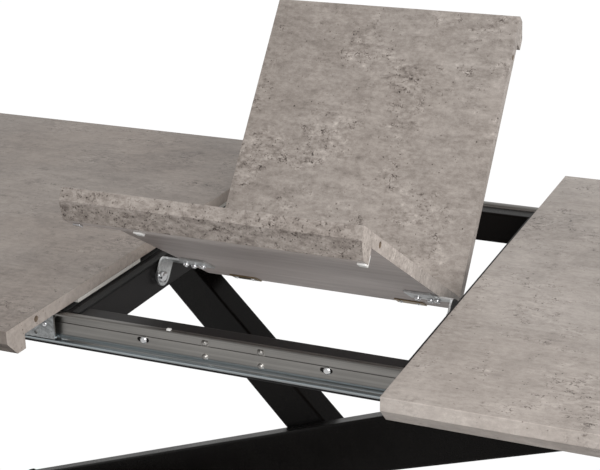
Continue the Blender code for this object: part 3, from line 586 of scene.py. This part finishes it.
def panel_span(node, panel):
    """Lowest and highest (x, s, n) of a CAD node in its leaf panel's axes."""
    inverse = panel_axes(panel).inverted()
    points = [inverse @ vertex.co for vertex in frame["nodes"][node].data.vertices]
    return [tuple(pick(p[i] for p in points) for i in range(3)) for pick in (min, max)]


def on_panel(panel, x, s, n, spin=0.0):
    """Matrix that stands a fitting on a panel's underside, at depth n, pointing down."""
    return panel_axes(panel) @ Matrix.Translation((x, s, n)) @ Matrix.Rotation(spin, 4, "Z")


def build_pivot_screws(look):
    """Three washered screws through the flat arm of each pivot bracket."""
    screw = pan_screw(0.0048, 0.0038, 0.0058)
    arm_face = BOARD + SHEET_GAP + PIVOT_SHEET + EPS
    for side, sign in SIDES:
        places = [on_panel("front", sign * x, s, arm_face, spin) for x, s, spin in PIVOT_SCREW_SPOTS]
        place_group(f"pivot_screws_{side}", screw, places, "leaf_front_panel",
                    look["bright"])


def build_hinge_screws(look):
    """Two small screws through each leaf of the fold hinges."""
    screw = pan_screw(0.0034, 0.0020)
    for side in ("left", "right"):
        for panel in ("front", "back"):
            low, high = panel_span(f"fold_hinge_{side}_{panel}", panel)
            middle, s = (low[0] + high[0]) / 2, low[1] + (high[1] - low[1]) * 0.62
            face = BOARD + SHEET_GAP + HINGE_SHEET + EPS
            places = [on_panel(panel, middle + step, s, face, step * 90) for step in HINGE_SCREW_SPOTS]
            place_group(f"hinge_screws_{side}_{panel}", screw, places, f"leaf_{panel}_panel",
                        look["bright"])


def build_bracket_screws(look):
    """Screws through the walls and the shelves of the runner brackets."""
    wall_screw = pan_screw(0.0036, 0.0020)
    shelf_screw = pan_screw(0.0040, 0.0024)
    for side, sign in SIDES:
        for end, facing in ENDS:
            low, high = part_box(f"runner_bracket_{side}_{end}")
            inner = min(abs(low[0]), abs(high[0]))
            wall = facing * (min(abs(low[1]), abs(high[1])) + RUNNER_SHEET + EPS)
            shelf = high[2] - RUNNER_SHEET - EPS
            shelf_y = facing * (max(abs(low[1]), abs(high[1])) - 0.014)
            places = [standing(sign * (inner + step), wall, low[2] + 0.0205, (0, facing, 0), step * 40)
                      for step in WALL_SCREW_SPOTS]
            place_group(f"bracket_screws_{side}_{end}", wall_screw, places, f"{side}_top",
                        look["bright"])
            places = [standing(sign * (inner + step), shelf_y, shelf, (0, 0, -1), step * 40)
                      for step in SHELF_SCREW_SPOTS]
            place_group(f"shelf_screws_{side}_{end}", shelf_screw, places, f"{side}_top",
                        look["bright"])


def build_channel_tabs(look):
    """White nylon stop on each channel's upper lip."""
    for end, facing in ENDS:
        low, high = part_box(f"slide_channel_{end}")
        lip = max(abs(low[1]), abs(high[1]))
        middle = (STOP_X_PLACE, facing * (lip - 0.0024), high[2] + 0.0014 + EPS)
        tab = soft_box((0.0056, 0.0042, 0.0028), 0.0006, middle)
        place_group(f"channel_stop_{end}", to_mesh("stop", tab), [Matrix()], "frame",
                    look["white"])


def build_edge_pads(look):
    """White nylon angle pads and a small steel clip on the inner corner of the front panel's thick edge."""
    _, high = panel_span("leaf_front", "front")
    under = high[2] + EPS
    inner = PANEL_LENGTH - THICK_EDGE - EPS
    foot = soft_box((0.0110, 0.0120, 0.0028), 0.0008, (0, 0.0035, 0.0014))
    upright = to_mesh("upright", soft_box((0.0110, 0.0024, 0.0150), 0.0008, (0, -0.0012, -0.0045)))
    foot.from_mesh(upright)
    places = [on_panel("front", x, inner, under) for x in PAD_SPOTS]
    place_group("edge_pads", to_mesh("pad", foot), places, "leaf_front_panel", look["white"])
    clip = to_mesh("clip", soft_box((0.0100, 0.0090, 0.0030), 0.0007))
    place_group("edge_clip", clip, [on_panel("front", CLIP_SPOT, inner + 0.0050, under + 0.0016)],
                "leaf_front_panel", look["bright"])


def build_beam_felts(look):
    """Two strips of dark felt along the top of each cross beam, that the tops slide over."""
    for side, sign in SIDES:
        low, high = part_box(f"cross_beam_{side}")
        outer = max(abs(low[0]), abs(high[0]))
        inner = min(abs(low[0]), abs(high[0]))
        for edge, x in (("outer", outer - 0.0055), ("inner", inner + 0.0042)):
            middle = (sign * x, 0, high[2] + FELT_THICKNESS / 2 + EPS)
            felt = soft_box((FELT_WIDTH, FELT_LENGTH, FELT_THICKNESS), 0.0004, middle)
            place_group(f"beam_felt_{side}_{edge}", to_mesh("felt", felt), [Matrix()], "frame",
                        look["rubber"])


def build_rail_caps(look):
    """Plastic plugs in the open ends of the long rails."""
    for end in ("front", "back"):
        low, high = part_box(f"rail_{end}")
        x, y, z = high[0] + 0.0015 + EPS, (low[1] + high[1]) / 2, (low[2] + high[2]) / 2
        size = (0.0030, high[1] - low[1] - 0.0004, high[2] - low[2] - 0.0004)
        cap = to_mesh("cap", soft_box(size, 0.0012))
        places = [Matrix.Translation((sign * x, y, z)) for sign in (-1, 1)]
        place_group(f"rail_caps_{end}", cap, places, "frame", look["rubber"])


def build_welds(look):
    """Weld beads where each leg bar meets its foot plate and its mounting plate."""
    for bar in ("front", "back"):
        points = [vertex.co for vertex in frame["nodes"][f"leg_bar_{bar}"].data.vertices]
        for label, pick in (("foot", min), ("head", max)):
            level = pick(point.z for point in points)
            ring = [point for point in points if abs(point.z - level) < 0.0004]
            outline = convex_outline([(point.x, point.y) for point in ring])
            build_bead(f"weld_{bar}_{label}", outline, level + (0.0008 if pick is min else -0.0008), look)


def convex_outline(points):
    """Corners of the convex hull of plan points, in order."""
    points = sorted(set((round(x, 6), round(y, 6)) for x, y in points))

    def half(run):
        kept = []
        for x, y in run:
            while len(kept) > 1 and ((kept[-1][0] - kept[-2][0]) * (y - kept[-2][1])
                                     - (kept[-1][1] - kept[-2][1]) * (x - kept[-2][0])) <= 0:
                kept.pop()
            kept.append((x, y))
        return kept[:-1]

    return half(points) + half(points[::-1])


def build_bead(name, outline, z, look):
    """Rippled bead along a closed plan outline."""
    path = []
    for (x0, y0), (x1, y1) in zip(outline, outline[1:] + outline[:1]):
        length = math.hypot(x1 - x0, y1 - y0)
        count = max(1, round(length / WELD_STEP))
        path += [(x0 + (x1 - x0) * i / count, y0 + (y1 - y0) * i / count) for i in range(count)]
    solid = bmesh.new()
    rings = []
    count = len(path)
    for i, (x, y) in enumerate(path):
        ahead, behind = path[(i + 1) % count], path[i - 1]
        along = Vector((ahead[0] - behind[0], ahead[1] - behind[1], 0)).normalized()
        out = Vector((along.y, -along.x, 0))
        radius = WELD_RADIUS + 0.0003 * math.sin(i * 1.9) + 0.0002 * math.sin(i * 0.7)
        centre = Vector((x, y, z)) + out * 0.0006
        ring = []
        for k in range(8):
            turn = math.tau * k / 8
            lift = Vector((0, 0, radius * math.sin(turn)))
            ring.append(solid.verts.new(centre + out * radius * math.cos(turn) + lift))
        rings.append(ring)
    for i in range(count):
        here, there = rings[i], rings[(i + 1) % count]
        for k in range(8):
            solid.faces.new((here[k], here[(k + 1) % 8], there[(k + 1) % 8], there[k]))
    place_group(name, to_mesh(name, solid, 60.0), [Matrix()], "frame", look["black"])


def build_fittings(look):
    build_pivot_screws(look)
    build_hinge_screws(look)
    build_bracket_screws(look)
    build_channel_tabs(look)
    build_edge_pads(look)
    build_beam_felts(look)
    build_rail_caps(look)
    build_welds(look)


# --- camera, floor and light ----------------------------------------------------------------
CAMERA_PLACE = (0.72688, -1.74916, 1.44811)
CAMERA_DOWN, CAMERA_YAW, CAMERA_ROLL = 21.772, 20.844, 0.221      # degrees
CAMERA_LENS = 82.32
CAMERA_SHIFT = (-0.1121, 0.0836)

KEY_PLACE, KEY_TARGET = (1.65, -1.65, 1.85), (0.30, 0.0, 0.75)
KEY_SIZE, KEY_POWER = (1.5, 1.5), 40.0

FLOOR_HALF_SIZE = 30.0
FLOOR_GREY = 0.62             # what the table gets back from it
FLOOR_GLOW = 1.02             # what the camera sees

BRIGHT_SIDE = (0.48, 0.60, 0.62)
SURROUND_FROM, SURROUND_TO = (-0.7, 0.22), (0.8, 0.88)   # place along the bright side, strength
SURROUND_TINT = (1.0, 0.995, 0.985, 1)


def make_camera():
    camera = bpy.data.objects.new("camera", bpy.data.cameras.new("camera"))
    bpy.context.scene.collection.objects.link(camera)
    facing = Euler((math.radians(90 - CAMERA_DOWN), 0.0, math.radians(CAMERA_YAW))).to_matrix()
    roll = Matrix.Rotation(math.radians(CAMERA_ROLL), 3, "Z")
    camera.matrix_world = Matrix.Translation(CAMERA_PLACE) @ (facing @ roll).to_4x4()
    camera.data.sensor_width = 36.0
    camera.data.lens = CAMERA_LENS
    camera.data.shift_x, camera.data.shift_y = CAMERA_SHIFT
    camera.data.clip_end = 100.0
    bpy.context.scene.camera = camera


def make_floor():
    """Plain floor that the camera sees as white, and that bounces a softer light."""
    mesh = bpy.data.meshes.new("floor")
    corners = [(x * FLOOR_HALF_SIZE, y * FLOOR_HALF_SIZE, 0)
               for x, y in ((-1, -1), (1, -1), (1, 1), (-1, 1))]
    mesh.from_pydata(corners, [], [(0, 1, 2, 3)])
    floor = bpy.data.objects.new("floor", mesh)
    bpy.context.scene.collection.objects.link(floor)
    paint = bpy.data.materials.new("floor_white")
    paint.use_nodes = True
    tree = paint.node_tree
    shader = tree.nodes["Principled BSDF"]
    shader.inputs["Base Color"].default_value = (FLOOR_GREY, FLOOR_GREY, FLOOR_GREY, 1)
    shader.inputs["Roughness"].default_value = 1.0
    shader.inputs["Specular IOR Level"].default_value = 0.0
    glow = tree.nodes.new("ShaderNodeEmission")
    glow.inputs["Strength"].default_value = FLOOR_GLOW
    swap = tree.nodes.new("ShaderNodeMixShader")
    seen = tree.nodes.new("ShaderNodeLightPath")
    tree.links.new(seen.outputs["Is Camera Ray"], swap.inputs["Fac"])
    tree.links.new(shader.outputs[0], swap.inputs[1])
    tree.links.new(glow.outputs[0], swap.inputs[2])
    tree.links.new(swap.outputs[0], tree.nodes["Material Output"].inputs["Surface"])
    mesh.materials.append(paint)


def make_world():
    """Soft studio surround: bright above and behind the table, dimmer in front, white to the camera."""
    world = bpy.data.worlds.new("studio")
    bpy.context.scene.world = world
    world.use_nodes = True
    tree = world.node_tree
    direction = tree.nodes.new("ShaderNodeTexCoord").outputs["Generated"]
    slope = tree.nodes.new("ShaderNodeVectorMath")
    slope.operation = "DOT_PRODUCT"
    slope.inputs[1].default_value = BRIGHT_SIDE
    tree.links.new(direction, slope.inputs[0])
    fall = tree.nodes.new("ShaderNodeMapRange")
    fall.interpolation_type = "SMOOTHSTEP"
    fall.inputs["From Min"].default_value, fall.inputs["To Min"].default_value = SURROUND_FROM
    fall.inputs["From Max"].default_value, fall.inputs["To Max"].default_value = SURROUND_TO
    tree.links.new(slope.outputs["Value"], fall.inputs["Value"])
    seen = tree.nodes.new("ShaderNodeLightPath")
    strength = tree.nodes.new("ShaderNodeMath")
    strength.operation = "MAXIMUM"
    tree.links.new(fall.outputs["Result"], strength.inputs[0])
    tree.links.new(seen.outputs["Is Camera Ray"], strength.inputs[1])
    tree.links.new(strength.outputs[0], tree.nodes["Background"].inputs["Strength"])
    tree.nodes["Background"].inputs["Color"].default_value = SURROUND_TINT


def make_light(name, place, target, size, power):
    lamp = bpy.data.lights.new(name, "AREA")
    lamp.shape = "RECTANGLE"
    lamp.size, lamp.size_y = size
    lamp.energy = power
    light = bpy.data.objects.new(name, lamp)
    light.location = place
    light.rotation_euler = (Vector(target) - Vector(place)).to_track_quat("-Z", "Y").to_euler()
    light.visible_camera = False
    bpy.context.scene.collection.objects.link(light)


def make_stage():
    make_camera()
    make_floor()
    make_world()
    make_light("key_right", KEY_PLACE, KEY_TARGET, KEY_SIZE, KEY_POWER)
    bpy.context.scene.view_settings.view_transform = "Standard"


look = make_materials()
dress_cad_nodes(look)
build_fittings(look)
make_stage()
